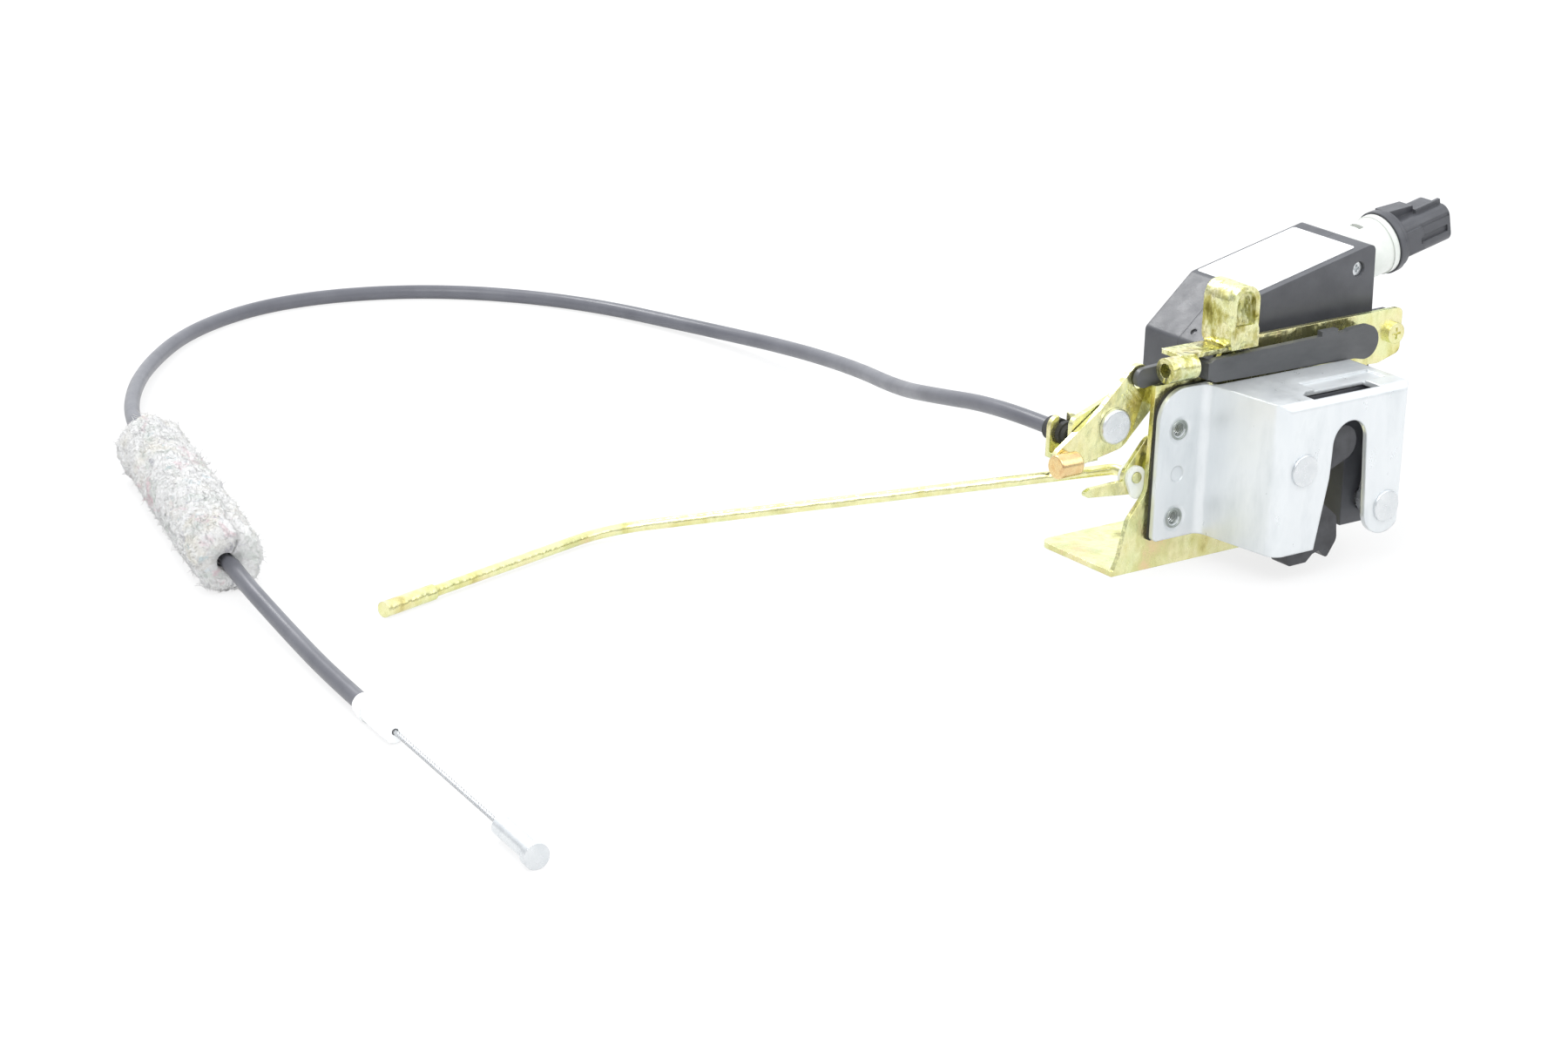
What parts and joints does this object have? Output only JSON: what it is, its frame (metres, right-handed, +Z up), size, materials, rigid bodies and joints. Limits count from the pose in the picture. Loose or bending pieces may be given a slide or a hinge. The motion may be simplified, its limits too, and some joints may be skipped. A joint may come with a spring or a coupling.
{
  "type": "door latch actuator",
  "caption": "Tailgate latch with striker slot and claw, power lock actuator, release cable with felt sleeve and a lock rod on a plated bracket.",
  "frame": {"origin": "midway between the two fixing holes, on the front face of the case's flange", "axes": "+X along the striker face to the right, -Y out of the striker face, +Z up, with the bracket's foot level"},
  "size_m": [0.4972, 0.5499, 0.1104],
  "materials": {
    "case_steel": "bright zinc-plated pressed steel, satin",
    "yellow_zinc": "yellow chromate over zinc, slightly iridescent",
    "pale_zinc": "bright zinc-plated fasteners, satin",
    "copper_zinc": "copper-coloured plating, satin",
    "black_steel": "black coated steel, satin",
    "fork_coat": "black plastic coat over steel, satin",
    "black_plastic": "black moulded plastic, fine grain",
    "rubber_black": "black rubber",
    "white_plastic": "natural white nylon, slightly translucent",
    "label_white": "blank white label",
    "cable_black": "black cable sheath, satin",
    "felt": "pressed felt of mixed recycled fibres",
    "spring_steel": "spring wire",
    "motor_steel": "drawn steel can",
    "gear_plastic": "natural acetal gear"
  },
  "bodies": {
    "latch_frame": {"case_shell": "case_steel", "gasket": "rubber_black", "main_bracket": "yellow_zinc", "fork_pin": "pale_zinc", "pawl_pin": "pale_zinc", "latch_housing": "black_plastic", "overslam_bumper": "rubber_black", "release_rivet": "pale_zinc", "lifter_rivet": "pale_zinc", "bar_guide": "yellow_zinc", "guide_rivet": "pale_zinc", "lock_rivet": "pale_zinc", "actuator_front": "black_plastic", "actuator_rear": "black_plastic", "cover_screws": "pale_zinc", "bracket_screws": "yellow_zinc", "motor": "motor_steel", "connector_neck": "white_plastic", "connector_socket": "black_plastic", "terminals": "copper_zinc", "label": "label_white", "cable_sheath": "cable_black", "felt_sleeve": "felt", "sheath_ferrule": "black_plastic", "cable_grommet": "rubber_black", "cable_end_cap": "white_plastic", "fork_spring": "spring_steel", "pawl_spring": "spring_steel"},
    "fork_body": {"fork": "fork_coat"},
    "pawl_body": {"pawl": "pale_zinc"},
    "release_body": {"release_lever": "yellow_zinc", "bush_barrel": "copper_zinc", "near_wire": "spring_steel"},
    "bar_body": {"link_bar": "black_steel"},
    "lifter_body": {"pawl_lifter": "yellow_zinc"},
    "lock_body": {"lock_lever": "yellow_zinc", "rod_clip": "white_plastic"},
    "rod_body": {"lock_rod": "yellow_zinc"},
    "crank_body": {"crank": "black_plastic", "output_gear": "gear_plastic"},
    "rotor_body": {"motor_pinion": "copper_zinc"},
    "core_body": {"cable_nipple": "pale_zinc"}
  },
  "joints": [
    {"name": "fork_hinge", "type": "hinge", "parent": "latch_frame", "child": "fork_body", "pos_m": [0.027, -0.029, 0.007], "axis": [0, -1, 0], "range_deg": [0, 40], "stiffness_Nm_per_rad": 0.03, "springref_deg": -28.65},
    {"name": "release_hinge", "type": "hinge", "parent": "latch_frame", "child": "release_body", "pos_m": [-0.0226, 0.011, 0.019], "axis": [0, -1, 0], "range_deg": [0, 9], "stiffness_Nm_per_rad": 0.05, "springref_deg": -28.65, "deforming": ["near_wire"]},
    {"name": "bar_slide", "type": "slide", "parent": "latch_frame", "child": "bar_body", "axis": [-1, 0, 0], "range_m": [0, 0.0027]},
    {"name": "lifter_hinge", "type": "hinge", "parent": "latch_frame", "child": "lifter_body", "pos_m": [0.086, 0.001, 0.019], "axis": [0, -1, 0], "range_deg": [0, 8.2]},
    {"name": "pawl_hinge", "type": "hinge", "parent": "latch_frame", "child": "pawl_body", "pos_m": [0.0692, -0.029, -0.0133], "axis": [0, 1, 0], "range_deg": [0, 7.4]},
    {"name": "core_slide", "type": "slide", "parent": "latch_frame", "child": "core_body", "axis": [-0.1439, -0.9896, 0], "range_m": [0, 0.004]},
    {"name": "lock_hinge", "type": "hinge", "parent": "latch_frame", "child": "lock_body", "pos_m": [-0.006, 0.0083, 0.008], "axis": [0, 1, 0], "range_deg": [0, 8]},
    {"name": "rod_swivel", "type": "hinge", "parent": "lock_body", "child": "rod_body", "pos_m": [-0.014, 0.0083, -0.0006], "axis": [0, 1, 0], "range_deg": [-8.2, 0]},
    {"name": "crank_hinge", "type": "hinge", "parent": "latch_frame", "child": "crank_body", "pos_m": [0.048, 0.011, 0.024], "axis": [0, -1, 0], "range_deg": [0, 12]},
    {"name": "rotor_hinge", "type": "hinge", "parent": "latch_frame", "child": "rotor_body", "pos_m": [0.06303, 0.02, 0.02947], "axis": [0, -1, 0], "range_deg": [-60, 0]}
  ],
  "couplings": [
    {"joint": "bar_slide", "follows": "release_hinge", "m_per_rad": 0.016},
    {"joint": "lifter_hinge", "follows": "release_hinge", "ratio": 0.8889},
    {"joint": "pawl_hinge", "follows": "release_hinge", "ratio": 0.798},
    {"joint": "core_slide", "follows": "release_hinge", "m_per_rad": 0.024},
    {"joint": "rod_swivel", "follows": "lock_hinge", "ratio": -1},
    {"joint": "crank_hinge", "follows": "lock_hinge", "ratio": 1.4545},
    {"joint": "rotor_hinge", "follows": "lock_hinge", "ratio": -4.3636}
  ]
}
